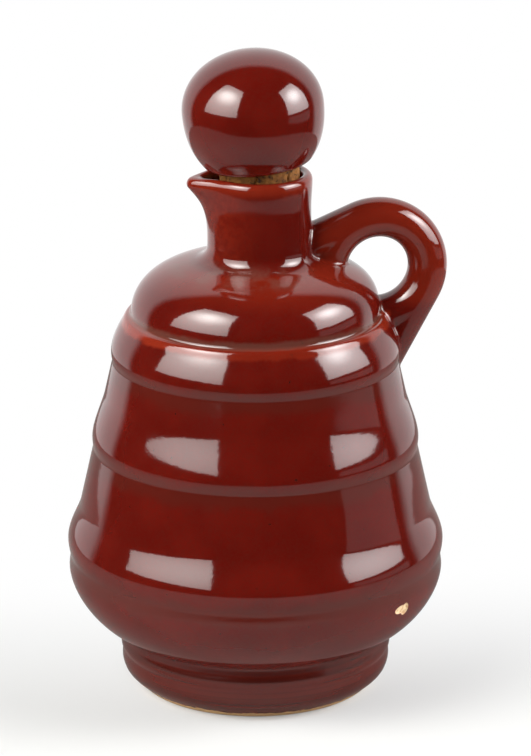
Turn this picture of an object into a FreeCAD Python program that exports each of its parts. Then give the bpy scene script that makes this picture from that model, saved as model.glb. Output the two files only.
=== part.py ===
"""Glazed ceramic decanter: ridged jug with a pouring lip and a loop handle, closed by a
ball stopper on a cork plug.

Units are millimetres, +Z is up.  The jug is built round its own axis of revolution and every
piece is then shifted along X, so that the origin is the middle of the model's footprint.
The handle lies on +X and the pouring lip on -X.
"""
import FreeCAD
import Part
import math
import os

# ---- foot: a low stepped ring that the jug stands on ----
seat_radius = 41.9            # outer edge of the ring that touches the table
seat_width = 5.4              # width of that ring, from the recess outward
recess_depth = 2.2            # hollow under the base
foot_radius = 49.0            # foot at its widest
foot_height = 20.7            # table to the line where the bowl begins
bare_clay_height = 1.2        # strip of unglazed clay above the table
foot_bead_heights = (9.6, 15.0)
foot_bead_relief = 0.7        # how far the two soft beads stand out
foot_undercut = 1.0           # how far the foot draws in between the bare strip and the low bead
waist_radius = 48.2           # foot where it meets the bowl

# ---- bowl: the round lower body ----
bowl_radius = 67.7
bowl_height = 44.4            # height of the bowl's widest circle
bowl_spread = 11.0            # how far the bowl springs outward from the waist
bowl_spring_rise = 3.4        # and how far it rises over that spread
bowl_upright = 7.8            # how far below its widest circle the bowl already runs upright
bowl_roll = 2.0               # and how far above it, before it turns in to the groove

# ---- ridges, lowest first: groove below it, crest, start of the sloping wall above ----
groove_radii = (67.2, 58.6, 51.4)
groove_heights = (48.7, 89.4, 121.7)
crest_radii = (68.1, 58.9, 51.8)
crest_rises = (5.8, 3.6, 3.3)          # crest above its own groove
wall_radii = (63.4, 54.3, 48.2)        # where the ridge has rounded over into the wall
wall_rises = (19.3, 19.6, 13.7)        # the same place above the groove
groove_blend = 1.6                     # soft radius in each groove
crest_spring = 0.4                     # share of the crest's rise over which it springs from the groove
crest_hold = 0.3                       # share of the way to the wall that the crest stays upright
wall_lead = 0.28                       # share of that way over which it leans into the wall's slope

# ---- shoulder: the dome between the top ridge and the neck ----
ledge_radius = 46.2           # top edge of the highest ridge
ledge_height = 138.9
dome_radius = 44.8            # foot of the dome
dome_height = 138.4
dome_lean = 0.8               # how far the dome leans in over that upright stretch
dome_fullness = 18.0          # how far the dome runs straight up before it turns over
dome_top_rise = 4.6           # rise of the dome over its last stretch to the neck
dome_top_reach = 11.5         # length of that last stretch
dome_top_bend = 0.8           # share of that rise kept for the stretch's end

# ---- neck and pouring lip ----
neck_radius = 18.6
neck_offset = 1.5             # the neck stands a little off the body's axis, to the handle side
neck_wall = 3.6
rim_height = 191.0
rim_round = 1.0
neck_blend = 3.2              # fillet between the neck and the dome
lip_reach = 8.2               # how far the tip of the lip stands out from the neck
lip_height = 25.0             # length of the flare below the rim
lip_sharpness = 45            # higher is a narrower lip
lip_power = 2.5               # how late the flare opens out towards the rim
lip_levels = 10               # loft sections up the neck
lip_bore_share = 0.8          # the channel inside starts that share of the lip's height down

# ---- wall and cavity ----
wall = 4.6
floor_thickness = 6.0
floor_round = 9.0             # radius inside, between the floor and the wall
bore_overlap = 1.0            # how far the bore reaches down into the cavity

# ---- handle: a round strap bent into a finger loop ----
loop_radius = 18.3            # centre line of the loop
loop_centre_x = 44.5
loop_centre_z = 154.2
strap_half_thickness = 7.0
strap_half_width = 7.4
leg_angle = 28.6              # how far below the horizontal the loop turns into its straight leg
leg_length = 29.0
root_angle = 186.0            # where the loop's other end is sunk in the shoulder
branch_angle = 113.0          # where the strap also runs straight on to the neck
web_angles = (-12.0, -104.0)  # the loop also runs on round behind the leg, down to the shoulder
stuck_on_margin = 0.15        # branch and web are that much slimmer than the loop they grow from

# ---- stopper: ceramic ball on a cork ----
ball_radius = 25.3
ball_base_gap = 3.2           # underside of the ball above the rim
ball_base_overhang = 2.2      # how far the ball's flat underside covers the rim beyond the bore
ball_base_round = 2.6
ball_lower_height = 20.4      # underside to the widest circle
ball_upper_height = 20.9      # widest circle to the top
ball_fullness = 0.565         # 0.552 is a true quarter ellipse, more is a fuller crown
ball_shoulder_reach = 1.2     # length of the rounded base's turn, in its own radius
ball_side_pull = (1.4, 0.36, 0.3)  # how the lower half swells: inset, then two shares of its height
stopper_lean = 5.6            # degrees, towards the lip
cork_clearance = 0.35         # between the cork and the bore at the rim
cork_depth = 18.0             # cork below the rim
cork_taper = 1.9              # radius lost from the rim down to the cork's end

bore_radius = neck_radius - neck_wall
handle_reach = loop_centre_x + loop_radius + strap_half_thickness
ball_base_radius = bore_radius + ball_base_overhang
footprint_shift = -(handle_reach - max(crest_radii + (bowl_radius,))) / 2

UP = FreeCAD.Vector(0, 0, 1)
ORIGIN = FreeCAD.Vector(0, 0, 0)


def at(radius, height):
    """Point of a meridian: radius along X, height along Z."""
    return FreeCAD.Vector(radius, 0, height)


def line(start, end):
    """Straight stretch of a meridian."""
    return Part.makeLine(at(*start), at(*end))


def arc(start, middle, end):
    """Circular stretch through three points."""
    return Part.Arc(at(*start), at(*middle), at(*end)).toShape()


def bezier(*points):
    """Smooth stretch from its end points and tangent handles."""
    curve = Part.BezierCurve()
    curve.setPoles([at(*point) for point in points])
    return curve.toShape()


def turned(edges):
    """Solid of revolution about the Z axis from a closed chain of meridian edges.

    Its seam is turned to +Y, clear of the handle and the lip.
    """
    wire = Part.Wire(Part.__sortEdges__(edges))
    solid = Part.Face(wire).revolve(ORIGIN, UP, 360)
    solid.rotate(ORIGIN, UP, 90)
    return solid


def foot_edges():
    """Outside of the foot, from the recess under it up to the waist."""
    recess_radius = seat_radius - seat_width
    low_bead, high_bead = foot_bead_heights
    hollow = foot_radius - foot_bead_relief
    between = (low_bead + high_bead) / 2
    below = low_bead - (between - low_bead)
    above = high_bead + (high_bead - between)
    return [
        line((0, recess_depth), (recess_radius, recess_depth)),
        line((recess_radius, recess_depth), (recess_radius, 0)),
        line((recess_radius, 0), (seat_radius, 0)),
        line((seat_radius, 0), (seat_radius + bare_clay_height, bare_clay_height)),
        bezier((seat_radius + bare_clay_height, bare_clay_height),
               (hollow - foot_undercut, below / 2), (hollow, below)),
        arc((hollow, below), (foot_radius - foot_bead_relief / 4, low_bead), (hollow, between)),
        arc((hollow, between), (foot_radius, high_bead), (hollow, above)),
        line((hollow, above), (waist_radius, foot_height)),
    ]


def bowl_edges():
    """Bowl from the waist to the lowest groove."""
    return [
        bezier((waist_radius, foot_height), (waist_radius + bowl_spread, foot_height + bowl_spring_rise),
               (bowl_radius, bowl_height - bowl_upright), (bowl_radius, bowl_height)),
        bezier((bowl_radius, bowl_height), (bowl_radius, bowl_height + bowl_roll),
               (groove_radii[0], groove_heights[0])),
    ]


def ridge_edges(index):
    """One ridge: out of its groove, over the crest, into the sloping wall above."""
    groove = (groove_radii[index], groove_heights[index])
    crest = (crest_radii[index], groove[1] + crest_rises[index])
    wall_start = (wall_radii[index], groove[1] + wall_rises[index])
    height = wall_start[1] - crest[1]
    if index + 1 < len(groove_radii):
        above = (groove_radii[index + 1], groove_heights[index + 1])
    else:
        above = (ledge_radius, ledge_height)
    slope = (wall_start[0] - above[0]) / (above[1] - wall_start[1])
    return [
        bezier(groove, (crest[0], groove[1] + crest_rises[index] * crest_spring), crest),
        bezier(crest, (crest[0], crest[1] + height * crest_hold),
               (wall_start[0] + slope * height * wall_lead, wall_start[1] - height * wall_lead), wall_start),
        line(wall_start, above),
    ]


def shoulder_edges():
    """Ledge on top of the highest ridge, then the dome in to the neck's axis."""
    top = (bore_radius, dome_height + dome_fullness + dome_top_rise)
    return [
        line((ledge_radius, ledge_height), (dome_radius, dome_height)),
        bezier((dome_radius, dome_height), (dome_radius - dome_lean, dome_height + dome_fullness),
               (bore_radius + dome_top_reach, top[1] - dome_top_rise * dome_top_bend), top),
        line(top, (0, top[1])),
        line((0, top[1]), (0, recess_depth)),
    ]


def body_outside():
    """Solid of the whole turned body, before it is hollowed."""
    edges = foot_edges() + bowl_edges()
    for index in range(len(groove_radii)):
        edges += ridge_edges(index)
    return turned(edges + shoulder_edges())


def cavity():
    """Inside of the body: it follows the bowl and the grooves one wall thickness further in."""
    floor = recess_depth + floor_thickness
    side = waist_radius - wall
    outer = (min(bowl_radius, groove_radii[0]),) + groove_radii[1:]
    points = [(radius - wall, height) for radius, height in zip(outer, groove_heights)]
    dome_foot = (dome_radius - wall, dome_height)
    inner_dome_top = dome_height + dome_fullness - wall
    neck_start = (bore_radius, inner_dome_top + bore_overlap)
    inner_waist = (side, foot_height + wall / 2)
    corner = floor_round * math.sin(math.radians(45))
    edges = [
        line((0, floor), (side - floor_round, floor)),
        arc((side - floor_round, floor),
            (side - floor_round + corner, floor + floor_round - corner), (side, floor + floor_round)),
        line((side, floor + floor_round), inner_waist),
        bezier(inner_waist, (side + bowl_spread / 2, inner_waist[1] + bowl_spring_rise),
               (points[0][0], bowl_height - bowl_upright), points[0]),
        line(points[0], points[1]),
        line(points[1], points[2]),
        line(points[2], dome_foot),
        bezier(dome_foot, (dome_foot[0] - dome_lean, inner_dome_top),
               (neck_start[0] + dome_top_reach, inner_dome_top), neck_start),
        line(neck_start, (0, neck_start[1])),
        line((0, neck_start[1]), (0, floor)),
    ]
    return turned(edges), neck_start[1]


def lipped_section(radius, reach, height):
    """Closed outline round the neck at one height, drawn out to -X by the lip."""
    steps = 72
    points = []
    for step in range(steps):
        angle = math.pi / 2 + 2 * math.pi * step / steps
        toward_lip = ((1 - math.cos(angle)) / 2) ** lip_sharpness
        out = radius + reach * toward_lip
        points.append(FreeCAD.Vector(neck_offset + out * math.cos(angle), out * math.sin(angle), height))
    curve = Part.BSplineCurve()
    curve.interpolate(Points=points, PeriodicFlag=True)
    return Part.Wire([curve.toShape()])


def lipped_tube(radius, reach, bottom, top, lip_start):
    """Solid neck form from bottom to top, whose lip flares out above lip_start."""
    sections = []
    for level in range(lip_levels + 1):
        height = bottom + (top - bottom) * level / lip_levels
        rise = max(0.0, height - lip_start) / (rim_height - lip_start)
        sections.append(lipped_section(radius, reach * rise ** lip_power, height))
    return Part.makeLoft(sections, True, False)


def strap(spine, start, along, slimmer=0.0):
    """Sweep the handle's oval section along a spine that lies in the XZ plane."""
    across = FreeCAD.Vector(0, 1, 0)
    outward = along.cross(across).normalize()
    section = Part.Ellipse(start + across * (strap_half_width - slimmer),
                           start + outward * (strap_half_thickness - slimmer), start)
    return Part.Wire(spine).makePipeShell([Part.Wire([section.toShape()])], True, False)


def handle_form():
    """Round strap in three forms: leg with its finger loop, web behind the leg, branch to the neck."""
    def on_loop(degrees):
        turn = math.radians(degrees)
        return at(loop_centre_x + loop_radius * math.cos(turn), loop_centre_z + loop_radius * math.sin(turn))

    def along_loop(degrees):
        turn = math.radians(degrees)
        return at(-math.sin(turn), math.cos(turn))

    def loop(start, end):
        return Part.Arc(on_loop(start), on_loop((start + end) / 2), on_loop(end)).toShape()

    bend = on_loop(-leg_angle)
    leg_end = bend - along_loop(-leg_angle) * leg_length
    ring = strap([Part.makeLine(leg_end, bend), loop(-leg_angle, root_angle)], leg_end, along_loop(-leg_angle))

    web_start, web_end = web_angles
    web = strap([loop(web_start, web_end)], on_loop(web_start), along_loop(web_start) * -1, stuck_on_margin)

    start, along = on_loop(branch_angle), along_loop(branch_angle)
    run = (start.x - neck_offset - bore_radius - neck_wall / 2) / -along.x
    branch = strap([Part.makeLine(start, start + along * run)], start, along, stuck_on_margin)
    return ring, web, branch


def seams(joined, first, second, low, high):
    """Edges of a joined form that lie on both of the forms it was joined from."""
    found = []
    for edge in joined.Edges:
        box = edge.BoundBox
        if box.ZMin < low or box.ZMax > high:
            continue
        middle = Part.Vertex(edge.valueAt((edge.FirstParameter + edge.LastParameter) / 2))
        if all(any(face.distToShape(middle)[0] < 0.01 for face in form.Faces) for form in (first, second)):
            found.append(edge)
    return found


def circles_at(shape, heights):
    """Edges that run round the shape at the given heights."""
    found = []
    for edge in shape.Edges:
        box = edge.BoundBox
        if any(abs(box.ZMin - height) < 0.01 and abs(box.ZMax - height) < 0.01 for height in heights):
            found.append(edge)
    return found


def make_jug():
    """One ceramic piece: body, neck, lip and handle, hollow inside."""
    hollow, neck_start = cavity()
    body = body_outside()
    body = body.makeFillet(groove_blend, circles_at(body, groove_heights))
    neck = lipped_tube(neck_radius, lip_reach, neck_start, rim_height, rim_height - lip_height)
    outside = body.fuse(neck)
    outside = outside.makeFillet(neck_blend, seams(outside, body, neck, dome_height, rim_height))
    for form in handle_form():
        outside = outside.fuse(form)
    bore = lipped_tube(bore_radius, lip_reach, neck_start - bore_overlap, rim_height,
                       rim_height - lip_height * lip_bore_share)
    jug = outside.cut(hollow).cut(bore)
    return jug.makeFillet(rim_round, circles_at(jug, [rim_height]))


def lean(shape):
    """Tip a stopper piece towards the lip, about the middle of the rim."""
    pivot = FreeCAD.Vector(neck_offset, 0, rim_height)
    shape.rotate(pivot, FreeCAD.Vector(0, 1, 0), -stopper_lean)
    return shape


def make_stopper_ball():
    """Ceramic ball, flat underneath where the cork is fixed."""
    base = rim_height + ball_base_gap
    equator = base + ball_lower_height
    top = equator + ball_upper_height
    shoulder = (ball_base_radius + ball_base_round * ball_shoulder_reach, base + ball_base_round)
    inset, low_share, high_share = ball_side_pull
    ball = turned([
        line((0, base), (ball_base_radius, base)),
        bezier((ball_base_radius, base), (ball_base_radius + ball_base_round / 2, base), shoulder),
        bezier(shoulder, (ball_radius - inset, base + ball_lower_height * low_share),
               (ball_radius, equator - ball_lower_height * high_share), (ball_radius, equator)),
        bezier((ball_radius, equator), (ball_radius, equator + ball_upper_height * ball_fullness),
               (ball_radius * ball_fullness, top), (0, top)),
        line((0, top), (0, base)),
    ])
    ball.translate(FreeCAD.Vector(neck_offset, 0, 0))
    return lean(ball)


def make_cork():
    """Tapered cork plug from the underside of the ball down into the neck."""
    top_radius = bore_radius - cork_clearance
    length = cork_depth + ball_base_gap
    place = FreeCAD.Vector(neck_offset, 0, rim_height - cork_depth)
    return lean(Part.makeCone(top_radius - cork_taper, top_radius, length, place, UP))


def main():
    """Build every piece and write one STEP file each."""
    os.makedirs("parts", exist_ok=True)
    pieces = {"jug": make_jug(), "stopper_ball": make_stopper_ball(), "cork": make_cork()}
    for name, shape in pieces.items():
        shape.translate(FreeCAD.Vector(footprint_shift, 0, 0))
        shape.exportStep(os.path.join("parts", name + ".step"))


main()
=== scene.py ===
"""Looks of a glazed ceramic decanter with a ball stopper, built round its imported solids.

Everything is in metres in the row's own frame: +Z up, the handle on +X, the pouring lip on -X.
Sizes below are written in millimetres and turned into metres by MM.
"""

import logging
import math
from dataclasses import dataclass, field
from enum import Enum
from typing import Callable, Sequence, Union

import bpy
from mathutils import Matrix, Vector, noise

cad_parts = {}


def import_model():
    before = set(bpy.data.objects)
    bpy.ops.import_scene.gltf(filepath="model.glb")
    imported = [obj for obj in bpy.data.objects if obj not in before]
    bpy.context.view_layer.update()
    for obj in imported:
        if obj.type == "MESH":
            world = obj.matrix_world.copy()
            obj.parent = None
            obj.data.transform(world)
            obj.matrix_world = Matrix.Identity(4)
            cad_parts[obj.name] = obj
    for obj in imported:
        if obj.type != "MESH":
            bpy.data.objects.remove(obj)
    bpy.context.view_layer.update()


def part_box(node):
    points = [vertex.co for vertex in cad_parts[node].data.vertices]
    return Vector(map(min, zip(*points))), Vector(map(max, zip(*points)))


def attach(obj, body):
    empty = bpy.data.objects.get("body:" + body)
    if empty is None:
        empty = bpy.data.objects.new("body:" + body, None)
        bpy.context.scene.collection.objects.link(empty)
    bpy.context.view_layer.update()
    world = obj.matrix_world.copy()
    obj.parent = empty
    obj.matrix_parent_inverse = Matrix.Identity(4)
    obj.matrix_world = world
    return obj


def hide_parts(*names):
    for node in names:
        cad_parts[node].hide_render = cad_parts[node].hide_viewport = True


MM = 0.001
LOG = logging.getLogger("decanter")
BODY = "root"
NOISE_ROUGHNESS = 0.55

Point = tuple[float, float]
Colour = tuple[float, float, float, float]
Piece = bpy.types.Object
Socket = bpy.types.NodeSocket
Value = Union[Socket, float, Colour, Vector]


class Slot(Enum):
    """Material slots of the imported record."""

    GLAZE = "glaze"
    CORK = "cork"


# ---------------------------------------------------------------- small tools


def smoothstep(low: float, high: float, value: float) -> float:
    """Ease from 0 to 1 as a value goes from low to high."""
    t = min(1.0, max(0.0, (value - low) / (high - low)))
    return t * t * (3.0 - 2.0 * t)


def deselect() -> None:
    """Leave edit mode and select nothing."""
    if bpy.context.object and bpy.context.object.mode != "OBJECT":
        bpy.ops.object.mode_set(mode="OBJECT")
    bpy.ops.object.select_all(action="DESELECT")


def activate(piece: Piece) -> None:
    """Select one object alone and make it the active one.

    Args:
        piece: the object.
    """
    deselect()
    piece.select_set(True)
    bpy.context.view_layer.objects.active = piece


def edit(piece: Piece, select: str = "SELECT") -> None:
    """Open one object in edit mode with all or none of it selected.

    Args:
        piece: the mesh object.
        select: SELECT or DESELECT.
    """
    activate(piece)
    bpy.ops.object.mode_set(mode="EDIT")
    bpy.ops.mesh.select_all(action=select)


def leave_edit() -> None:
    """Return to object mode."""
    bpy.ops.object.mode_set(mode="OBJECT")


def settle(piece: Piece) -> None:
    """Move the object's place, turn and scale into its mesh."""
    activate(piece)
    bpy.ops.object.transform_apply(location=True, rotation=True, scale=True)


def apply_all(piece: Piece) -> None:
    """Apply every modifier of a piece, first to last."""
    activate(piece)
    for modifier in list(piece.modifiers):
        bpy.ops.object.modifier_apply(modifier=modifier.name)


def weigh(piece: Piece, name: str, weight: Callable[[Vector], float]) -> None:
    """Fill a vertex group from a function of each vertex's place.

    Args:
        piece: the mesh object.
        name: name of the new vertex group.
        weight: gives 0 to 1 for a vertex's place in metres.
    """
    group = piece.vertex_groups.new(name=name)
    for vertex in piece.data.vertices:
        share = weight(vertex.co)
        if share > 0.0:
            group.add([vertex.index], share, "REPLACE")


def push(piece: Piece, direction: str, distance: float, weight: Callable[[Vector], float]) -> None:
    """Displace part of a mesh along an axis or its normals, by a weight of place.

    Args:
        piece: the mesh object.
        direction: "X", "Y", "Z" or "NORMAL".
        distance: metres at a weight of 1.
        weight: gives 0 to 1 for a vertex's place.
    """
    weigh(piece, "push", weight)
    modifier = piece.modifiers.new("push", "DISPLACE")
    modifier.direction = direction
    modifier.strength = distance
    modifier.mid_level = 0.0
    modifier.vertex_group = "push"
    apply_all(piece)
    piece.vertex_groups.remove(piece.vertex_groups["push"])


def shade_smooth(piece: Piece, degrees: float) -> None:
    """Shade a piece smooth, with edges sharper than an angle kept."""
    activate(piece)
    bpy.ops.object.shade_smooth_by_angle(angle=math.radians(degrees))


@dataclass(frozen=True)
class Bend:
    """One cubic stretch of an outline, in millimetres.

    first and second are its tangent handles, end its last point and steps its number of stretches.
    """

    first: Point
    second: Point
    end: Point
    steps: int


@dataclass
class Meridian:
    """Half outline of a turned form, as points of radius and height in millimetres."""

    points: list[Point] = field(default_factory=list)

    def to(self, radius: float, height: float, steps: int = 1) -> "Meridian":
        """Run straight to a point.

        Args:
            radius: the point's distance from the axis.
            height: its height.
            steps: number of stretches.

        Returns:
            The same meridian.
        """
        if not self.points:
            self.points.append((radius, height))
            return self
        r0, z0 = self.points[-1]
        for n in range(1, steps + 1):
            t = n / steps
            self.points.append((r0 + (radius - r0) * t, z0 + (height - z0) * t))
        return self

    def curve(self, first: Point, second: Point, end: Point, steps: int) -> "Meridian":
        """Run along a cubic curve.

        Args:
            first: tangent handle of the start.
            second: tangent handle of the end.
            end: last point.
            steps: number of stretches.

        Returns:
            The same meridian.
        """
        start = self.points[-1]
        for n in range(1, steps + 1):
            t = n / steps
            a, b, c, d = (1 - t) ** 3, 3 * t * (1 - t) ** 2, 3 * t * t * (1 - t), t ** 3
            self.points.append(tuple(a * start[i] + b * first[i] + c * second[i] + d * end[i]
                                     for i in (0, 1)))
        return self

    def bends(self, bends: Sequence[Bend]) -> "Meridian":
        """Run along several cubic curves and return the same meridian."""
        for bend in bends:
            self.curve(bend.first, bend.second, bend.end, bend.steps)
        return self

    def spun(self, name: str, axis_x: float, segments: int = 128) -> Piece:
        """Turn the outline about a vertical axis into a closed mesh.

        Args:
            name: name of the new object.
            axis_x: place of the axis along X, in metres.
            segments: number of steps round the axis.

        Returns:
            The new object, with its place in its mesh.
        """
        deselect()
        radius, height = self.points[0]
        bpy.ops.mesh.primitive_plane_add(size=MM, location=(axis_x + radius * MM, 0.0, height * MM))
        piece = bpy.context.object
        piece.name = name
        settle(piece)
        edit(piece)
        bpy.ops.mesh.merge(type="CENTER")
        for (r0, z0), (r1, z1) in zip(self.points, self.points[1:]):
            bpy.ops.mesh.extrude_region_move(
                TRANSFORM_OT_translate={"value": ((r1 - r0) * MM, 0.0, (z1 - z0) * MM)})
        bpy.ops.mesh.select_all(action="SELECT")
        bpy.ops.mesh.spin(steps=segments, angle=2 * math.pi, center=(axis_x, 0.0, 0.0), axis=(0.0, 0.0, 1.0))
        bpy.ops.mesh.select_all(action="SELECT")
        bpy.ops.mesh.remove_doubles(threshold=2e-6)
        bpy.ops.mesh.normals_make_consistent(inside=False)
        leave_edit()
        return piece


# ---------------------------------------------------------------- the jug


@dataclass(frozen=True)
class Ridge:
    """One ridge of the body, in millimetres.

    groove is the groove below it, crest its widest circle and wall the place where it has turned
    into the sloping wall. lift and lead are how far the curve runs upright above the crest and
    along the slope below the wall; slope is the wall's radius lost per height.
    """

    groove: Point
    crest: Point
    lift: float
    wall: Point
    lead: float
    slope: float


@dataclass(frozen=True)
class Chip:
    """A flake broken off the bowl, as two ovals that overlap, in millimetres.

    turn is its place round the axis, in degrees from the handle; height is above the table. fine is
    how far round it the faces are made finer and brink where its edge falls, both as shares of its
    size. Each oval is its centre along the wall and up, then its half width and half height.
    """

    turn: float = -48.2
    height: float = 41.0
    depth: float = 0.6
    inner_radius: float = 60.0
    fine: float = 2.6
    brink: Point = (1.05, 0.7)
    ovals: tuple[tuple[float, float, float, float], ...] = ((-1.1, 0.5, 3.1, 1.6), (1.4, 0.0, 2.0, 2.3))

    def away(self, co: Vector, axis_x: float) -> float:
        """Measure how far a place is from the chip's middle.

        Args:
            co: the place.
            axis_x: place of the jug's axis along X.

        Returns:
            A distance that is 1 on the chip's edge, and far away inside the jug.
        """
        turn = math.radians(self.turn)
        x, y, z = (co.x - axis_x) / MM, co.y / MM, co.z / MM
        along = -x * math.sin(turn) + y * math.cos(turn)
        if x * math.cos(turn) + y * math.sin(turn) < self.inner_radius:
            return math.inf
        return min(math.hypot((along - u) / half, (z - self.height - v) / tall)
                   for u, v, half, tall in self.ovals)


@dataclass
class Jug:
    """The ceramic jug: turned body and neck, the pulled lip and the chip. Sizes are in millimetres.

    axis_x, in metres, is the place of its axis along X.
    """

    seat_radius: float = 41.9
    seat_width: float = 5.4
    recess_depth: float = 2.2
    seat_bevel: float = 1.2
    foot: tuple[Bend, ...] = (
        Bend((45.3, 3.2), (47.6, 4.6), (48.2, 7.0), 6),
        Bend((48.7, 8.4), (48.9, 9.9), (48.4, 12.2), 7),
        Bend((48.3, 12.9), (49.2, 13.6), (49.1, 15.0), 6),
        Bend((49.0, 16.4), (48.5, 17.2), (48.35, 18.2), 5),
        Bend((48.3, 19.2), (47.7, 20.2), (48.2, 20.7), 4),
    )
    bowl: Bend = Bend((59.2, 24.1), (67.7, 36.6), (67.7, 44.4), 34)
    ridges: tuple[Ridge, ...] = (
        Ridge((67.2, 48.7), (68.1, 54.5), 4.1, (63.4, 68.0), 4.2, 0.214),
        Ridge((58.6, 89.4), (58.9, 93.0), 4.0, (54.3, 109.0), 4.5, 0.228),
        Ridge((51.4, 121.7), (51.8, 125.0), 3.6, (48.2, 135.4), 2.6, 0.60),
    )
    ledge: Point = (46.1, 138.6)
    dome_foot: Point = (44.6, 140.3)
    shoulder: tuple[Bend, ...] = (
        Bend((44.1, 156.3), (26.5, 157.2), (22.6, 159.0), 34),
        Bend((20.4, 160.0), (18.7, 161.4), (18.6, 164.5), 8),
    )
    wall: float = 4.6
    floor: float = 8.2
    bore_end: float = 158.0
    inner_shoulder: tuple[Point, Point] = ((16.0, 153.0), (38.0, 156.0))
    inner_bowl: Bend = Bend((62.7, 34.0), (50.0, 27.0), (43.6, 23.0), 10)
    inner_corner: Bend = Bend((43.6, 10.0), (40.0, 8.2), (34.0, 8.2), 6)
    inner_foot_height: float = 17.2
    neck_foot: float = 160.0
    neck_radius: float = 18.6
    neck_wall: float = 3.6
    neck_offset: float = 1.5
    rim: float = 191.0
    lip_reach: float = 7.2
    lip_height: float = 25.0
    lip_power: float = 2.5
    lip_sharpness: float = 30.0
    lip_edge: float = 3.0
    lip_droop: float = 0.9
    lip_thickening: float = 0.3
    lip_bore_share: float = 0.8
    segments: int = 224
    axis_x: float = 0.0

    def outline(self) -> Meridian:
        """Draw the whole wall of the jug: recess, foot, bowl, ridges, dome, neck, rim and the inside.

        Returns:
            The closed outline.
        """
        m = Meridian()
        self._foot(m)
        self._ridges(m)
        self._neck(m)
        self._inside(m)
        return m

    def outside(self) -> list[Point]:
        """Draw the outer wall alone, from the foot to the neck's rim.

        Returns:
            The wall's points of radius and height.
        """
        m = Meridian()
        self._foot(m)
        self._ridges(m)
        self._neck(m)
        return [point for point in m.points if point[0] > self.neck_radius - self.neck_wall / 2]

    def neck_share(self, co: Vector) -> float:
        """Find the share of the neck's offset at one height."""
        return smoothstep(self.ledge[1], self.neck_foot, co.z / MM)

    def _foot(self, m: Meridian) -> None:
        """Draw the recess under the base, the bare ring, the stepped foot and the bowl.

        Args:
            m: the meridian to go on with.
        """
        recess, seat, bevel = self.seat_radius - self.seat_width, self.seat_radius, self.seat_bevel
        m.to(0.0, self.recess_depth).to(recess - 2.0, self.recess_depth, 8)
        m.curve((recess - 0.6, self.recess_depth), (recess, self.recess_depth - 0.4), (recess, 0.8), 4)
        m.curve((recess, 0.2), (recess + 0.3, 0.0), (recess + 0.9, 0.0), 3)
        m.to(seat - bevel / 2, 0.0, 3)
        m.curve((seat, 0.0), (seat + 0.5, bevel / 4), (seat + bevel, bevel), 3)
        m.bends(self.foot + (self.bowl,))

    def _ridges(self, m: Meridian) -> None:
        """Draw three ridges, each out of its groove, over its crest and up the wall above.

        Args:
            m: the meridian to go on with.
        """
        afters = [ridge.groove for ridge in self.ridges[1:]] + [self.ledge]
        first = self.ridges[0].groove
        m.curve((m.points[-1][0], m.points[-1][1] + 0.8), (first[0] + 0.1, first[1] - 1.2), first, 4)
        for ridge, after in zip(self.ridges, afters):
            (groove, low), (crest, mid), (wall, high) = ridge.groove, ridge.crest, ridge.wall
            m.curve((groove + 0.05, low + 1.0), (crest, mid - (mid - low) * 0.5), ridge.crest, 7)
            m.curve((crest, mid + ridge.lift), (wall + ridge.slope * ridge.lead, high - ridge.lead),
                    ridge.wall, 20)
            if after is not self.ledge:
                m.to(after[0] + ridge.slope * 2.6, after[1] - 2.6, 10)
                m.curve((after[0] + ridge.slope * 1.7, after[1] - 1.7),
                        (after[0] + ridge.slope * 0.9, after[1] - 0.9), after, 5)
        top = self.ridges[-1]
        m.curve((top.wall[0] - top.slope * 1.6, top.wall[1] + 1.6),
                (self.ledge[0] + 1.0, self.ledge[1] - 0.6), self.ledge, 10)

    def _neck(self, m: Meridian) -> None:
        """Draw the groove behind the ledge, the dome, its blend, the neck and the rounded rim.

        Args:
            m: the meridian to go on with.
        """
        foot, outer, rim = self.dome_foot, self.neck_radius, self.rim
        m.curve((self.ledge[0] - 0.9, self.ledge[1] + 0.2), (foot[0] + 0.05, foot[1] - 1.1), foot, 9)
        m.bends(self.shoulder)
        m.to(outer - 0.1, rim - 12.0, 14)
        m.curve((outer, rim - 8.0), (outer + 0.4, rim - 5.0), (outer + 0.3, rim - 2.4), 9)
        crown = outer - self.neck_wall / 2
        m.curve((outer + 0.2, rim - 0.9), (crown + 1.1, rim), (crown, rim), 8)
        inner = outer - self.neck_wall
        m.curve((crown - 1.1, rim), (inner, rim - 0.8), (inner, rim - 2.4), 8)

    def _inside(self, m: Meridian) -> None:
        """Draw the bore, the inner dome, the inner wall and the floor.

        Args:
            m: the meridian to go on with.
        """
        m.to(self.neck_radius - self.neck_wall, self.bore_end, 12)
        m.curve(*self.inner_shoulder, (self.dome_foot[0] - self.wall, self.dome_foot[1]), 14)
        for ridge in reversed(self.ridges):
            m.to(ridge.groove[0] - self.wall, ridge.groove[1], 8)
        m.bends((self.inner_bowl,)).to(self.inner_bowl.end[0], self.inner_foot_height, 2)
        m.bends((self.inner_corner,)).to(0.0, self.floor, 6)

    def build_body(self) -> Piece:
        """Spin the body, pull its neck aside and its lip out, and break out the chip.

        Returns:
            The finished body.
        """
        piece = self.outline().spun("jug_body", self.axis_x, self.segments)
        push(piece, "X", self.neck_offset * MM, self.neck_share)
        push(piece, "X", -self.lip_reach * MM, self._lip_weight)
        push(piece, "Z", -self.lip_droop * MM, self._droop_weight)
        self._chip(piece)
        shade_smooth(piece, 50.0)
        return piece

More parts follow.
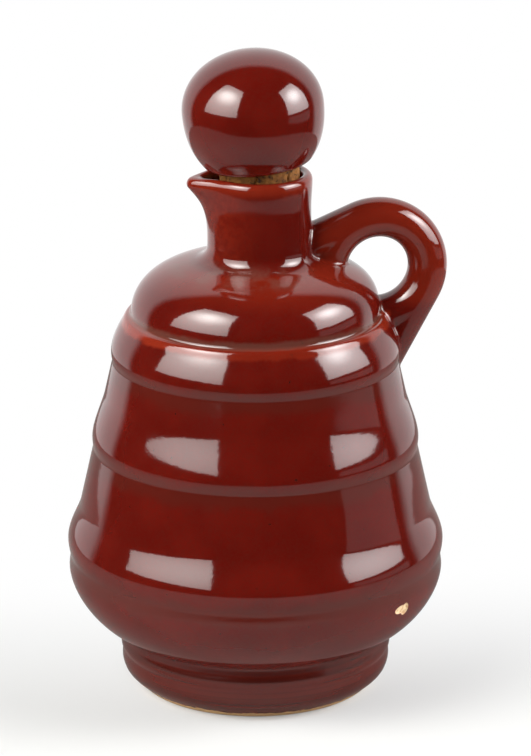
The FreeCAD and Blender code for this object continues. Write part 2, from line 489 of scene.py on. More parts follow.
    def _lip_weight(self, co: Vector) -> float:
        """Find the share of the lip's reach at one place on the neck.

        Args:
            co: the place.

        Returns:
            A share from 0 to 1.
        """
        x, y, z = (co.x - self.axis_x) / MM - self.neck_offset, co.y / MM, co.z / MM
        radius = math.hypot(x, y)
        if radius > self.neck_radius + 1.0 or z < self.rim - self.lip_height:
            return 0.0
        outside = radius > self.neck_radius - self.neck_wall / 2
        length = self.lip_height if outside else self.lip_height * self.lip_bore_share
        rise = min(1.0, max(0.0, z - (self.rim - length)) / (length - self.lip_edge))
        toward = ((1.0 - x / radius) / 2.0) ** self.lip_sharpness
        inward = smoothstep(self.neck_radius - 0.4, self.neck_radius - self.neck_wall, radius)
        return toward * rise ** self.lip_power * (1.0 - self.lip_thickening * inward)

    def _chip(self, piece: Piece) -> None:
        """Break the chip out of the bowl: finer faces round it, then a shallow dent.

        Args:
            piece: the jug's body.
        """
        chip = Chip()
        edit(piece, "DESELECT")
        bpy.ops.mesh.select_mode(type="FACE")
        leave_edit()
        for face in piece.data.polygons:
            face.select = chip.away(face.center, self.axis_x) < chip.fine
        bpy.ops.object.mode_set(mode="EDIT")
        bpy.ops.mesh.subdivide(number_cuts=7, smoothness=1.0)
        bpy.ops.mesh.select_mode(type="VERT")
        leave_edit()
        push(piece, "NORMAL", -chip.depth * MM,
             lambda co: smoothstep(*chip.brink, chip.away(co, self.axis_x)))

    def _droop_weight(self, co: Vector) -> float:
        """Find the share of the lip's droop, which grows from the bore out to the lip's tip."""
        x, z = (co.x - self.axis_x) / MM - self.neck_offset, co.z / MM
        return smoothstep(11.0, self.neck_radius + 7.0, -x) * smoothstep(self.rim - 14.0, self.rim - 3.0, z)


# ---------------------------------------------------------------- the handle


@dataclass
class Handle:
    """Round strap: a finger loop, a straight leg, a branch to the neck, and glaze-filled roots.

    Sizes are in millimetres and angles in degrees. thickness and width are halves of the strap's
    section. patch_heights, patch_back and patch_half bound the copy of the wall that the roots melt
    into, patch_gap below the wall's own face. The core that trims them runs between core_heights,
    core_gap inside the wall, and core_drop lower on the dome.
    """

    jug: Jug
    loop_radius: float = 18.3
    centre: Point = (44.4, 154.2)
    thickness: float = 7.1
    width: float = 7.52
    leg_angle: float = -28.6
    leg_length: float = 29.0
    branch_angle: float = 113.0
    branch_length: float = 27.0
    voxel: float = 0.55
    smoothing: int = 22
    patch_heights: Point = (112.0, 184.0)
    patch_back: float = 8.0
    patch_half: float = 27.0
    patch_gap: float = 0.1
    core_heights: Point = (100.0, 188.0)
    core_gap: float = 3.0
    core_drop: float = 2.6
    dome_height: float = 150.0
    dome_radius: float = 19.5

    def build(self) -> Piece:
        """Model the forms, melt them into a patch of the jug's wall and trim what pokes inside.

        Returns:
            The finished handle.
        """
        forms = [self._loop(), self._strip(self.leg_angle, -self.leg_length, "leg"),
                 self._strip(self.branch_angle, self.branch_length, "branch"), self._patch()]
        deselect()
        for form in forms:
            form.select_set(True)
        bpy.context.view_layer.objects.active = forms[0]
        bpy.ops.object.join()
        piece = bpy.context.object
        piece.name = "jug_handle"
        self._melt(piece)
        self._trim(piece)
        shade_smooth(piece, 180.0)
        return piece

    def _place(self, degrees: float) -> Vector:
        """Find a point on the loop's centre line, by its degrees from +X."""
        turn = math.radians(degrees)
        return Vector((self.jug.axis_x + (self.centre[0] + self.loop_radius * math.cos(turn)) * MM, 0.0,
                       (self.centre[1] + self.loop_radius * math.sin(turn)) * MM))

    def _section(self, place: Vector, degrees: float, name: str) -> Piece:
        """Fill an oval section across the loop's line at one place.

        Args:
            place: middle of the section.
            degrees: angle round the loop that the section faces along.
            name: name of the new object.

        Returns:
            A filled oval.
        """
        deselect()
        bpy.ops.mesh.primitive_circle_add(vertices=64, radius=self.thickness * MM, fill_type="NGON",
                                          location=place, rotation=(0.0, -math.radians(degrees), 0.0))
        piece = bpy.context.object
        piece.name = name
        piece.scale = (1.0, self.width / self.thickness, 1.0)
        settle(piece)
        return piece

    def _loop(self) -> Piece:
        """Model the finger loop as a closed ring.

        Returns:
            The ring.
        """
        deselect()
        bpy.ops.mesh.primitive_torus_add(
            major_segments=160, minor_segments=64, major_radius=self.loop_radius * MM,
            minor_radius=self.thickness * MM, rotation=(math.pi / 2, 0.0, 0.0),
            location=(self.jug.axis_x + self.centre[0] * MM, 0.0, self.centre[1] * MM))
        piece = bpy.context.object
        piece.name = "loop"
        settle(piece)
        piece.scale = (1.0, self.width / self.thickness, 1.0)
        settle(piece)
        return piece

    def _strip(self, degrees: float, length: float, name: str) -> Piece:
        """Model a straight piece of strap that leaves the loop along its tangent.

        Args:
            degrees: where on the loop it starts.
            length: how far it runs in millimetres, less than nothing for clockwise.
            name: name of the new object.

        Returns:
            A closed straight strap.
        """
        turn = math.radians(degrees)
        along = Vector((-math.sin(turn), 0.0, math.cos(turn))) * length * MM
        piece = self._section(self._place(degrees), degrees, name)
        edit(piece)
        bpy.ops.mesh.extrude_region_move(TRANSFORM_OT_translate={"value": along})
        bpy.ops.mesh.select_all(action="SELECT")
        bpy.ops.mesh.normals_make_consistent(inside=False)
        leave_edit()
        return piece

    def _patch(self) -> Piece:
        """Model a block with the jug's own outside, a hair smaller, round the handle's roots.

        Returns:
            A closed block.
        """
        bottom, top = self.patch_heights
        block = Meridian().to(0.0, bottom)
        for radius, height in self.jug.outside():
            if bottom < height < top:
                block.to(radius, height)
        piece = block.to(0.0, top).spun("patch", self.jug.axis_x, self.jug.segments)
        push(piece, "X", self.jug.neck_offset * MM, self.jug.neck_share)
        push(piece, "NORMAL", -self.patch_gap * MM, lambda co: 1.0)
        back, half = self.jug.axis_x + self.patch_back * MM, self.patch_half * MM
        for place, normal in (((back, 0.0, 0.0), (-1.0, 0.0, 0.0)), ((0.0, -half, 0.0), (0.0, -1.0, 0.0)),
                              ((0.0, half, 0.0), (0.0, 1.0, 0.0))):
            edit(piece)
            bpy.ops.mesh.bisect(plane_co=place, plane_no=normal, use_fill=True, clear_outer=True)
            leave_edit()
        return piece

    def _melt(self, piece: Piece) -> None:
        """Join the forms into one skin and let the glaze fill its corners.

        Args:
            piece: the joined forms.
        """
        remesh = piece.modifiers.new("skin", "REMESH")
        remesh.mode = "VOXEL"
        remesh.voxel_size = self.voxel * MM
        smooth = piece.modifiers.new("flow", "SMOOTH")
        smooth.factor = 0.5
        smooth.iterations = self.smoothing
        apply_all(piece)

    def _trim(self, piece: Piece) -> None:
        """Cut away what pokes through into the jug's inside.

        Args:
            piece: the melted handle.
        """
        bottom, top = self.core_heights
        core = Meridian().to(0.0, bottom)
        for radius, height in self.jug.outside():
            if bottom < height < top:
                on_dome = height > self.dome_height and radius > self.dome_radius
                core.to(radius - self.core_gap, height - (self.core_drop if on_dome else 0.0))
        cutter = core.to(0.0, top).spun("core", self.jug.axis_x, 96)
        push(cutter, "X", self.jug.neck_offset * MM, self.jug.neck_share)
        cut = piece.modifiers.new("trim", "BOOLEAN")
        cut.operation = "DIFFERENCE"
        cut.solver = "EXACT"
        cut.object = cutter
        apply_all(piece)
        bpy.data.objects.remove(cutter)


# ---------------------------------------------------------------- the stopper


@dataclass
class Stopper:
    """Ceramic ball with a flat underside, on a cracked cork plug. Sizes are in millimetres.

    fullness is how far the tangent handles reach on the ball's upper half; lean is in degrees.
    """

    jug: Jug
    ball_radius: float = 25.25
    base_radius: float = 17.2
    base_height: float = 194.2
    lower_height: float = 20.4
    upper_height: float = 20.9
    fullness: float = 0.565
    lean: float = 5.6
    rim: float = 191.0
    bore: float = 15.0
    clearance: float = 0.35
    cork_depth: float = 18.0
    cork_taper: float = 1.9
    cork_bevel: float = 0.8
    crack_depth: float = 0.9
    cracks: int = 7
    crack_sharpness: int = 60
    pit_depth: float = 0.7
    pit_scale: float = 0.55

    def build_ball(self) -> Piece:
        """Spin the ball and tip it with the cork.

        Returns:
            The ball.
        """
        base, equator = self.base_height, self.base_height + self.lower_height
        top = equator + self.upper_height
        m = Meridian().to(0.0, base).to(self.base_radius - 1.0, base, 6)
        m.curve((self.base_radius + 1.0, base), (self.base_radius + 2.2, base + 0.8),
                (self.base_radius + 3.2, base + 2.6), 8)
        m.curve((self.ball_radius - 1.5, base + self.lower_height * 0.36),
                (self.ball_radius, equator - self.lower_height * 0.34), (self.ball_radius, equator), 34)
        m.curve((self.ball_radius, equator + self.upper_height * self.fullness),
                (self.ball_radius * self.fullness, top), (0.0, top), 44)
        piece = m.spun("stopper", self.jug.axis_x, 160)
        self._tip(piece)
        shade_smooth(piece, 60.0)
        return piece

    def build_cork(self) -> Piece:
        """Spin the tapered plug and dent its side along its cracks.

        Returns:
            The cork.
        """
        wide = self.bore - self.clearance
        narrow, end = wide - self.cork_taper, self.rim - self.cork_depth
        m = Meridian().to(0.0, end).to(narrow - self.cork_bevel, end, 10)
        m.to(narrow, end + self.cork_bevel, 2).to(wide, self.base_height, 40).to(0.0, self.base_height, 6)
        piece = m.spun("cork_plug", self.jug.axis_x, 180)
        push(piece, "NORMAL", -self.crack_depth * MM, lambda co: self._crack(co))
        self._tip(piece)
        shade_smooth(piece, 40.0)
        return piece

    def _crack(self, co: Vector) -> float:
        """Find the depth of the cork's cracks and pits at one place.

        Args:
            co: the place.

        Returns:
            A share from 0 to 1.
        """
        x, y, z = (co.x - self.jug.axis_x) / MM, co.y / MM, co.z / MM
        if math.hypot(x, y) < self.bore - self.cork_taper - 1.2:
            return 0.0
        turn = math.atan2(y, x) + 0.05 * math.sin(z * 0.9)
        split = max(0.0, math.cos(turn * self.cracks)) ** self.crack_sharpness
        pit = smoothstep(0.25, 0.6, noise.noise(Vector((x, y, z * 0.7)) * self.pit_scale))
        return min(1.0, split + self.pit_depth * pit)

    def _tip(self, piece: Piece) -> None:
        """Move a piece over the neck and lean it about the rim's middle.

        Args:
            piece: the ball or the cork.
        """
        edit(piece)
        bpy.ops.transform.translate(value=(self.jug.neck_offset * MM, 0.0, 0.0))
        pivot = (self.jug.axis_x + self.jug.neck_offset * MM, 0.0, self.rim * MM)
        bpy.ops.transform.rotate(value=math.radians(self.lean), orient_axis="Y", orient_type="GLOBAL",
                                 center_override=pivot)
        leave_edit()


# ---------------------------------------------------------------- finishes


def paint(red: int, green: int, blue: int) -> Colour:
    """Turn a screen colour into the linear colour that nodes take.

    Args:
        red: its red, 0 to 255.
        green: its green.
        blue: its blue.

    Returns:
        The opaque colour.
    """
    shares = (value / 255.0 for value in (red, green, blue))
    linear = [share / 12.92 if share <= 0.04045 else ((share + 0.055) / 1.055) ** 2.4 for share in shares]
    return linear[0], linear[1], linear[2], 1.0


@dataclass(frozen=True)
class Cloud:
    """Noise and its contrast: about scale blobs in a metre, 0 where it is below low and 1 above high."""

    scale: float
    detail: float
    low: float
    high: float


class Graph:
    """Short ways to add shader nodes to one tree."""

    def __init__(self, tree: bpy.types.NodeTree) -> None:
        """Start on an emptied tree.

        Args:
            tree: the tree.
        """
        self.tree = tree
        self.nodes = tree.nodes
        self.nodes.clear()

    def add(self, kind: str, **values: Value) -> bpy.types.Node:
        """Add a node and set or link its inputs.

        Args:
            kind: the node's type.
            values: inputs by name, with the spaces in their names written as underscores.

        Returns:
            The new node.
        """
        node = self.nodes.new(kind)
        for key, value in values.items():
            self.set(node.inputs[key.replace("_", " ")], value)
        return node

    def set(self, socket: Socket, value: Value) -> None:
        """Give a socket a constant or a link.

        Args:
            socket: the input.
            value: a constant, or the output to link to it.
        """
        if isinstance(value, Socket):
            self.tree.links.new(value, socket)
        else:
            socket.default_value = value

    def calc(self, operation: str, *terms: Value) -> Socket:
        """Do one step of arithmetic on numbers.

        Args:
            operation: the math node's operation.
            terms: its inputs.

        Returns:
            The result.
        """
        node = self.nodes.new("ShaderNodeMath")
        node.operation = operation
        for socket, term in zip(node.inputs, terms):
            self.set(socket, term)
        return node.outputs[0]

    def times(self, *terms: Value) -> Socket:
        """Multiply two or more numbers.

        Args:
            terms: the numbers.

        Returns:
            Their product.
        """
        product = terms[0]
        for term in terms[1:]:
            product = self.calc("MULTIPLY", product, term)
        return product

    def length(self, across: Value, up: Value) -> Socket:
        """Find the length of a flat arrow from its two parts."""
        return self.calc("SQRT", self.calc("ADD", self.times(across, across), self.times(up, up)))

    def along(self, place: Value, direction: Vector) -> Socket:
        """Find how far a place lies along a direction.

        Args:
            place: the place.
            direction: a unit vector.

        Returns:
            The distance.
        """
        node = self.nodes.new("ShaderNodeVectorMath")
        node.operation = "DOT_PRODUCT"
        self.set(node.inputs[0], place)
        self.set(node.inputs[1], direction)
        return node.outputs["Value"]

    def ramp(self, value: Value, low: float, high: float, start: Value = 0.0, end: Value = 1.0) -> Socket:
        """Change smoothly from start to end as a value goes from low to high.

        Args:
            value: the value.
            low: where the change starts.
            high: where it ends.
            start: the result at low and before it.
            end: the result at high and after it.

        Returns:
            The changed value.
        """
        node = self.nodes.new("ShaderNodeMapRange")
        node.interpolation_type = "SMOOTHSTEP"
        for socket, term in zip(node.inputs, (value, low, high, start, end)):
            self.set(socket, term)
        return node.outputs[0]

    def band(self, value: Value, middle: float, half: float, fade: float) -> Socket:
        """Mark with 1 where a value lies within half of a middle, fading out beyond."""
        away = self.calc("ABSOLUTE", self.calc("SUBTRACT", value, middle))
        return self.ramp(away, half, half + fade, 1.0, 0.0)

    def mix(self, share: Value, first: Value, second: Value) -> Socket:
        """Blend two colours.

        Args:
            share: share of the second.
            first: the first colour.
            second: the second colour.

        Returns:
            The blend.
        """
        node = self.nodes.new("ShaderNodeMix")
        node.data_type = "RGBA"
        for index, value in ((0, share), (6, first), (7, second)):
            self.set(node.inputs[index], value)
        return node.outputs[2]

    def blend(self, share: Value, first: Socket, second: Socket) -> Socket:
        """Blend two shaders.

        Args:
            share: share of the second.
            first: the first shader.
            second: the second shader.

        Returns:
            The blended shader.
        """
        node = self.nodes.new("ShaderNodeMixShader")
        for socket, value in zip(node.inputs, (share, first, second)):
            self.set(socket, value)
        return node.outputs[0]

    def noise(self, place: Value, scale: float, detail: float = 3.0) -> Socket:
        """Make noise with about scale blobs in a metre and detail finer layers on it."""
        return self.add("ShaderNodeTexNoise", Vector=place, Scale=scale, Detail=detail,
                        Roughness=NOISE_ROUGHNESS).outputs[0]

    def cloud(self, place: Value, cloud: Cloud, start: float = 0.0, end: float = 1.0) -> Socket:
        """Make noise with a contrast, which runs from start to end."""
        return self.ramp(self.noise(place, cloud.scale, cloud.detail), cloud.low, cloud.high, start, end)

    def end(self, kind: str, shader: Socket) -> None:
        """Link the tree's shader to its output."""
        self.set(self.nodes.new(kind).inputs[0], shader)


def new_material(name: str) -> tuple[bpy.types.Material, Graph, Socket]:
    """Start a material.

    Args:
        name: its name.

    Returns:
        The material, its emptied tree and the place of each point on the object.
    """
    material = bpy.data.materials.new(name)
    material.use_nodes = True
    g = Graph(material.node_tree)
    return material, g, g.add("ShaderNodeTexCoord").outputs["Object"]


class SpotGraph(Graph):
    """Shader nodes with the point that is coloured.

    place is in metres, and the rest in millimetres from the jug's axis.
    """

    def __init__(self, tree: bpy.types.NodeTree, axis_x: float) -> None:
        """Start on an emptied tree and measure the point from the jug's axis.

        Args:
            tree: the tree.
            axis_x: place of the axis along X, in metres.
        """
        super().__init__(tree)
        self.place = self.add("ShaderNodeTexCoord").outputs["Object"]
        parts = self.add("ShaderNodeSeparateXYZ", Vector=self.place).outputs
        self.x = self.times(self.calc("SUBTRACT", parts[0], axis_x), 1.0 / MM)
        self.y, self.z = self.times(parts[1], 1.0 / MM), self.times(parts[2], 1.0 / MM)
        self.radius = self.length(self.x, self.y)


@dataclass(frozen=True)
class GlazeFinish:
    """Red-brown glaze over tan clay: greyer where it pools, orange where it runs thin, with painted highlight
    making the ledge's sides more orange.
    """

    dark: Colour = paint(82, 9, 4)
    body: Colour = paint(91, 14, 7)
    grey: Colour = paint(76, 25, 18)
    thin: Colour = paint(140, 44, 23)
    foot: Colour = paint(84, 23, 14)
    wear: Colour = paint(96, 66, 56)
    clay: Colour = paint(190, 152, 104)
    flake: Colour = paint(224, 200, 160)
    flake_dark: Colour = paint(196, 156, 112)
    speck: Colour = paint(50, 18, 13)
    roughness: float = 0.075
    foot_roughness: float = 0.16
    bare_roughness: float = 0.75
    refraction: float = 1.65
    wave: float = 0.0004
    wave_scale: float = 34.0
    grain_depth: float = 0.0003
    grain_scale: float = 420.0
    mottle: Cloud = Cloud(60.0, 4.0, 0.35, 0.68)
    grain: Cloud = Cloud(1300.0, 3.0, 0.35, 0.7)
    pins: Cloud = Cloud(520.0, 0.0, 0.84, 0.87)
    crumbs: Cloud = Cloud(900.0, 3.0, 0.35, 0.6)
    pool_edge: Cloud = Cloud(90.0, 3.0, 0.3, 0.7)
    ragged: Cloud = Cloud(120.0, 3.0, 0.3, 0.7)
    spout: Cloud = Cloud(420.0, 4.0, 0.3, 0.7)
    scuffs: Cloud = Cloud(110.0, 4.0, 0.42, 0.66)
    rings: Cloud = Cloud(520.0, 1.0, 0.45, 0.62)
    bare_edge: Cloud = Cloud(300.0, 3.0, 0.3, 0.7)
    groove_heights: tuple[float, ...] = (48.7, 89.4, 121.7)
    ledge: Point = (46.6, 137.6)
    hollow: Point = (44.8, 139.9)
    dome: Point = (45.0, 18.0)
    rim: float = 191.0
    bare: float = 2.1

    def build(self, axis_x: float) -> bpy.types.Material:
        """Make the material.

        Args:
            axis_x: place of the jug's axis along X.

        Returns:
            The glaze, read from each point's place on the object.
        """
        material = bpy.data.materials.new("red_brown_glaze")
        material.use_nodes = True
        g = SpotGraph(material.node_tree, axis_x)
        colour = self._handle(g, self._pools(g, self._mottle(g)))
        colour = self._foot(g, self._thin_edges(g, colour))
        wear, bare, flake = self._wear(g), self._bare(g), self._flake(g)
        colour = g.mix(bare, g.mix(wear, colour, self.wear), self.clay)
        colour = g.mix(flake, colour, g.mix(g.cloud(g.place, self.crumbs), self.flake_dark, self.flake))
        dull = g.calc("MAXIMUM", g.calc("MAXIMUM", bare, flake), g.times(wear, 0.35))
        satin = g.ramp(g.z, 23.0, 19.0, self.roughness, self.foot_roughness)
        wave = g.add("ShaderNodeBump", Strength=1.0, Distance=self.wave,
                     Height=g.noise(g.place, self.wave_scale, 1.0))
        bump = g.add("ShaderNodeBump", Strength=0.06, Distance=self.grain_depth,
                     Height=g.noise(g.place, self.grain_scale, 2.0), Normal=wave.outputs[0])
        shader = g.add("ShaderNodeBsdfPrincipled", Base_Color=colour, IOR=self.refraction,
                       Roughness=g.ramp(dull, 0.0, 1.0, satin, self.bare_roughness), Normal=bump.outputs[0])
        g.end("ShaderNodeOutputMaterial", shader.outputs[0])
        return material

    def _mottle(self, g: SpotGraph) -> Socket:
        """Mix the darker and the redder glaze in clouds, with a grey grain and dark pinpoints.

        Args:
            g: the glaze's tree.

        Returns:
            The colour.
        """
        colour = g.mix(g.cloud(g.place, self.mottle), self.dark, self.body)
        colour = g.mix(g.times(g.cloud(g.place, self.grain), 0.5), colour, self.grey)
        return g.mix(g.cloud(g.place, self.pins, 0.0, 0.6), colour, self.speck)

    def _handle(self, g: SpotGraph, colour: Socket) -> Socket:
        """Lay slightly thinner, more orange glaze on the handle, which lies outside the dome's oval.

        Args:
            g: the glaze's tree.
            colour: the colour so far.

        Returns:
            The new colour.
        """
        oval = g.length(g.calc("DIVIDE", g.radius, self.dome[0]),
                        g.calc("DIVIDE", g.calc("SUBTRACT", g.z, self.ledge[1]), self.dome[1]))
        off_neck = g.times(g.ramp(g.radius, 21.0, 25.0), g.band(g.z, 162.0, 18.0, 5.0))
        return g.mix(g.times(g.ramp(oval, 1.12, 1.3), off_neck, 0.28), colour, self.thin)

    def _pools(self, g: SpotGraph, colour: Socket) -> Socket:
        """Lay greyer brown in the grooves.

        Args:
            g: the glaze's tree.
            colour: the colour so far.

        Returns:
            The new colour.
        """
        height = g.calc("ADD", g.z, g.cloud(g.place, self.pool_edge, -1.5, 1.5))
        for groove in self.groove_heights:
            colour = g.mix(g.times(g.band(height, groove - 1.0, 1.5, 4.0), 0.7), colour, self.grey)
        return colour

    def _thin_edges(self, g: SpotGraph, colour: Socket) -> Socket:
        """Lay grey in the hollow behind the ledge, and orange on the ledge, the rim and the lip; on the ledge
        the orange is partly a painted highlight.

        Args:
            g: the glaze's tree.
            colour: the colour so far.

        Returns:
            The new colour.
        """
        height = g.calc("ADD", g.z, g.cloud(g.place, self.ragged, -0.5, 0.5))
        hollow = g.times(g.band(height, self.hollow[1], 0.7, 1.6), g.band(g.radius, self.hollow[0], 0.7, 0.8))
        colour = g.mix(g.times(hollow, 0.5), colour, self.wear)
        # Painted highlight: the ledge's thin-glaze orange is doubled towards the handle and lip sides, where
        # the lamps light it.
        side = g.ramp(g.calc("ABSOLUTE", g.x), 5.0, 40.0, 0.3, 0.6)
        ledge = g.times(g.band(height, self.ledge[1], 0.8, 1.7), g.band(g.radius, self.ledge[0], 1.2, 1.2))
        neck = g.ramp(g.radius, 32.0, 30.0)
        rim = g.times(g.band(height, self.rim - 1.5, 1.2, 4.0), neck)
        share = g.calc("MAXIMUM", g.times(ledge, side), g.times(rim, 0.4))
        spout = g.times(g.ramp(g.x, 2.0, -16.0), g.times(neck, g.band(g.z, 178.0, 12.0, 8.0)))
        share = g.calc("MAXIMUM", share, g.times(spout, g.cloud(g.place, self.spout, 0.1, 0.3)))
        return g.mix(share, colour, self.thin)

    def _wear(self, g: SpotGraph) -> Socket:
        """Find the share of grey wear on the shoulder round the neck."""
        shoulder = g.times(g.ramp(g.z, 151.0, 157.0), g.ramp(g.z, 163.0, 160.0))
        return g.times(g.times(shoulder, g.band(g.radius, 25.0, 3.0, 7.0)),
                       g.cloud(g.place, self.scuffs, 0.0, 0.4))

    def _flake(self, g: SpotGraph) -> Socket:
        """Find the share of bare clay where the chip is broken out.

        Args:
            g: the glaze's tree.

        Returns:
            The share.
        """
        chip = Chip()
        cos, sin = math.cos(math.radians(chip.turn)), math.sin(math.radians(chip.turn))
        along = g.calc("ADD", g.times(g.x, -sin), g.times(g.y, cos))
        out = g.calc("ADD", g.times(g.x, cos), g.times(g.y, sin))
        share = 0.0
        for u, v, half, tall in chip.ovals:
            away = g.length(g.calc("DIVIDE", g.calc("SUBTRACT", along, u), half),
                            g.calc("DIVIDE", g.calc("SUBTRACT", g.z, chip.height + v), tall))
            share = g.calc("MAXIMUM", share, g.ramp(away, 1.04, 0.96))
        return g.times(share, g.ramp(out, chip.inner_radius, chip.inner_radius + 1.0))

    def _foot(self, g: SpotGraph, colour: Socket) -> Socket:
        """Lay duller, greyer glaze with faint rings on the foot.

        Args:
            g: the glaze's tree.
            colour: the colour so far.

        Returns:
            The new colour.
        """
        share = g.ramp(g.calc("ADD", g.z, g.cloud(g.place, self.ragged, -1.0, 1.0)), 22.0, 18.5)
        colour = g.mix(g.times(share, 0.75), colour, self.foot)
        flat = g.add("ShaderNodeMapping", Vector=g.place, Scale=(0.003, 0.003, 1.0)).outputs[0]
        return g.mix(g.times(share, g.cloud(flat, self.rings, 0.0, 0.5)), colour, self.speck)

    def _bare(self, g: SpotGraph) -> Socket:
        """Find the share of unglazed clay, at the table and under the base."""
        edge = g.calc("ADD", g.z, g.cloud(g.place, self.bare_edge, -0.4, 0.4))
        return g.ramp(edge, self.bare + 0.15, self.bare - 0.15)


@dataclass(frozen=True)
class CorkFinish:
    """Raw cork with dark pores."""

    light: Colour = paint(158, 104, 42)
    mid: Colour = paint(118, 72, 26)
    pore: Colour = paint(58, 32, 12)
    grain: Cloud = Cloud(500.0, 4.0, 0.35, 0.65)
    pores: Cloud = Cloud(900.0, 2.0, 0.58, 0.66)
    roughness: float = 0.85
    pit_depth: float = 0.0006
    pit_scale: float = 700.0

    def build(self) -> bpy.types.Material:
        """Make the material.

        Returns:
            The cork, read from each point's place on the object.
        """
        material, g, place = new_material("raw_cork")
        colour = g.mix(g.cloud(place, self.grain), self.mid, self.light)
        colour = g.mix(g.cloud(place, self.pores), colour, self.pore)
        bump = g.add("ShaderNodeBump", Strength=0.5, Distance=self.pit_depth,
                     Height=g.noise(place, self.pit_scale, 4.0))
        shader = g.add("ShaderNodeBsdfPrincipled", Base_Color=colour, Roughness=self.roughness,
                       Normal=bump.outputs[0])
        g.end("ShaderNodeOutputMaterial", shader.outputs[0])
        return material


def dress(piece: Piece, material: bpy.types.Material) -> None:
    """Give a piece one material.

    Args:
        piece: the piece.
        material: its material.
    """
    piece.data.materials.clear()
    piece.data.materials.append(material)


# ---------------------------------------------------------------- stage, light and camera


@dataclass(frozen=True)
class Softbox:
    """One upright area light: where it stands, in degrees seen from the object, and how bright it is.

    azimuth is from the camera's side, to the right; half_width, low and high are angles; distance
    is in metres; middle, field and edge are brightness from its centre outward, 1 being white.
    """

    name: str
    azimuth: float
    half_width: float
    low: float
    high: float
    distance: float
    middle: float
    field: float
    edge: float
    colour: Colour


@dataclass
class Studio:
    """Floor, lamps, surroundings and camera. Lengths are in metres and angles in degrees."""

    axis_x: float
    azimuth: float = -9.5
    elevation: float = 17.96
    distance: float = 1.62
    focal_length: float = 214.3
    aim_height: float = 0.1142
    aim_right: float = 0.00367
    table_width: float = 1.14
    table_depth: float = 0.92
    table_drop: float = 0.0002
    white: Colour = (1.0, 1.0, 1.0, 1.0)
    room_dark: Colour = (0.022, 0.015, 0.013, 1.0)
    room_pale: Colour = (1.2, 1.2, 1.2, 1.0)
    boxes: tuple[Softbox, ...] = (
        Softbox("left_light", -55.0, 29.0, 9.2, 62.0, 1.0, 15.5, 6.8, 2.2, (1.0, 0.985, 0.95, 1.0)),
        Softbox("right_light", 79.0, 22.0, 6.5, 51.5, 1.0, 15.5, 7.0, 2.8, (1.0, 0.985, 0.98, 1.0)),
        Softbox("right_foot", 81.0, 22.0, -7.0, 2.5, 1.0, 0.36, 0.36, 0.36, (1.0, 0.96, 0.95, 1.0)),
    )

    def back(self) -> Vector:
        """Find the unit vector from the object to the camera."""
        a, e = math.radians(self.azimuth), math.radians(self.elevation)
        return Vector((math.sin(a) * math.cos(e), -math.cos(a) * math.cos(e), math.sin(e)))

    def right(self) -> Vector:
        """Find the unit vector to the camera's right."""
        return self.world_direction(1.0, 0.0, 0.0)

    def camera(self) -> None:
        """Create the camera and make it the scene's."""
        aim = Vector((self.axis_x, 0.0, self.aim_height)) + self.right() * self.aim_right
        bpy.ops.object.camera_add(location=aim + self.back() * self.distance)
        camera = bpy.context.object
        camera.rotation_euler = self.back().to_track_quat("Z", "Y").to_euler()
        camera.data.lens = self.focal_length
        camera.data.sensor_width = 36.0
        camera.data.clip_start = 0.05
        bpy.context.scene.camera = camera

    def world_direction(self, x: float, y: float, z: float) -> Vector:
        """Turn a direction given with the camera looking along +Y into the row's frame."""
        a = math.radians(self.azimuth)
        return Vector((x * math.cos(a) - y * math.sin(a), x * math.sin(a) + y * math.cos(a), z))

    def softbox(self, box: Softbox) -> None:
        """Stand an upright soft light beside the table, turned to the object, brighter in its middle.

        Args:
            box: the light.
        """
        turn = math.radians(box.azimuth)
        flat = self.world_direction(math.sin(turn), -math.cos(turn), 0.0)
        low, high = (math.tan(math.radians(angle)) * box.distance for angle in (box.low, box.high))
        place = Vector((self.axis_x, 0.0, self.aim_height + (low + high) / 2)) + flat * box.distance
        bpy.ops.object.light_add(type="AREA", location=place)
        lamp = bpy.context.object
        lamp.name = box.name
        lamp.rotation_euler = flat.to_track_quat("Z", "Y").to_euler()
        lamp.data.shape = "RECTANGLE"
        lamp.data.size = 2 * math.tan(math.radians(box.half_width)) * box.distance
        lamp.data.size_y = high - low
        lamp.data.energy = math.pi * lamp.data.size * lamp.data.size_y
        lamp.data.use_nodes = True
        g = Graph(lamp.data.node_tree)
        spot = g.add("ShaderNodeNewGeometry").outputs["Parametric"]
        parts = g.add("ShaderNodeSeparateXYZ", Vector=spot).outputs
        u = g.times(g.calc("SUBTRACT", parts[0], 0.5), lamp.data.size / lamp.data.size_y)
        away = g.length(u, g.calc("SUBTRACT", parts[1], 0.5))
        glow = g.calc("ADD", g.ramp(away, 0.0, 0.34, box.middle - box.field, 0.0),
                      g.ramp(away, 0.1, 0.75, box.field, box.edge))
        g.end("ShaderNodeOutputLight",
              g.add("ShaderNodeEmission", Color=box.colour, Strength=glow).outputs[0])

    def lamps(self) -> None:
        """Stand a large soft light on each side, and the dim foot of the right one."""
        for box in self.boxes:
            self.softbox(box)

    def surroundings(self) -> None:
        """Set the world round the object.

        The camera sees white. Reflections see a white backdrop behind the object and a dark room
        elsewhere. Other light comes softly from behind and the sides.
        """
        world = bpy.data.worlds.new("studio")
        bpy.context.scene.world = world
        world.use_nodes = True
        g = Graph(world.node_tree)
        way = g.add("ShaderNodeTexCoord").outputs["Generated"]
        facing = g.along(way, self.world_direction(0.0, 1.0, 0.0))
        up = g.add("ShaderNodeSeparateXYZ", Vector=way).outputs[2]
        wide = g.times(g.ramp(facing, -0.4, 0.3), g.ramp(up, 0.85, 0.35))
        mirrored = g.mix(g.ramp(facing, 0.35, 0.53), self.room_dark, self.white)
        ray = g.add("ShaderNodeLightPath").outputs
        room = g.mix(ray["Is Glossy Ray"], g.mix(wide, self.room_dark, self.room_pale), mirrored)
        fill = g.add("ShaderNodeBackground", Color=room, Strength=1.0).outputs[0]
        seen = g.add("ShaderNodeBackground", Color=self.white, Strength=1.0).outputs[0]
        g.end("ShaderNodeOutputWorld", g.blend(ray["Is Camera Ray"], fill, seen))

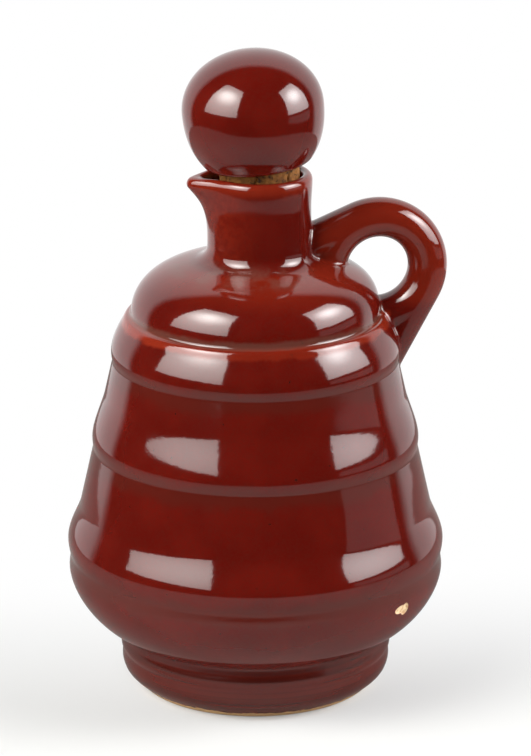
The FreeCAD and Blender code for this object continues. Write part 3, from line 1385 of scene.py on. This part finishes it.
    def floor(self) -> Piece:
        """Model the pale table top, which fades to the white ground away from the camera, with painted shade
        towards the camera.

        Returns:
            The table top.
        """
        deselect()
        bpy.ops.mesh.primitive_circle_add(vertices=128, radius=1.0, fill_type="NGON",
                                          rotation=(0.0, 0.0, math.radians(self.azimuth)),
                                          location=(self.axis_x, 0.0, -self.table_drop))
        table = bpy.context.object
        table.name = "table"
        table.scale = (self.table_width / 2, self.table_depth / 2, 1.0)
        settle(table)
        material, g, place = new_material("table")
        depth = g.along(place, self.world_direction(0.0, 1.0, 0.0))
        ray = g.add("ShaderNodeLightPath").outputs
        reach = g.nodes.new("ShaderNodeVectorMath")
        reach.operation = "LENGTH"
        g.set(reach.inputs[0], place)
        mirrored = g.mix(g.ramp(reach.outputs["Value"], 0.2, 0.5), paint(146, 144, 142), paint(124, 122, 120))
        tone = g.mix(ray["Is Glossy Ray"], paint(230, 230, 228), mirrored)
        # Painted shade: the table as the camera sees it is painted darker towards the camera, where the
        # lamps' light falls strongest.
        painted_front_shade = g.mix(g.ramp(depth, -0.17, -0.07), paint(202, 204, 204), paint(212, 214, 214))
        cloth = g.add("ShaderNodeBsdfDiffuse", Color=g.mix(ray["Is Camera Ray"], tone, painted_front_shade)).outputs[0]
        glow = g.add("ShaderNodeEmission", Color=self.white, Strength=1.0).outputs[0]
        fade = g.times(g.ramp(depth, -0.12, 0.12), ray["Is Camera Ray"])
        g.end("ShaderNodeOutputMaterial", g.blend(fade, cloth, glow))
        table.data.materials.append(material)
        return table


def main() -> None:
    """Build the pieces, dress them, and set the stage."""
    logging.basicConfig(level=logging.INFO, format="%(message)s")
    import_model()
    low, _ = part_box("jug")
    jug = Jug(axis_x=low[0] + Jug.ridges[0].crest[0] * MM)
    glaze = GlazeFinish().build(jug.axis_x)
    body = jug.build_body()
    handle = Handle(jug).build()
    stopper = Stopper(jug)
    ball, cork = stopper.build_ball(), stopper.build_cork()
    for piece in (body, handle, ball):
        dress(piece, glaze)
    dress(cork, CorkFinish().build())
    for piece, node in ((body, "jug"), (handle, "jug"), (ball, "stopper_ball"), (cork, "cork")):
        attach(piece, BODY)
        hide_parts(node)
        LOG.info("%s: %d faces", piece.name, len(piece.data.polygons))
    studio = Studio(jug.axis_x)
    studio.camera()
    studio.lamps()
    studio.surroundings()
    studio.floor()
    bpy.context.scene.view_settings.view_transform = "Standard"


if __name__ == "__main__":
    main()
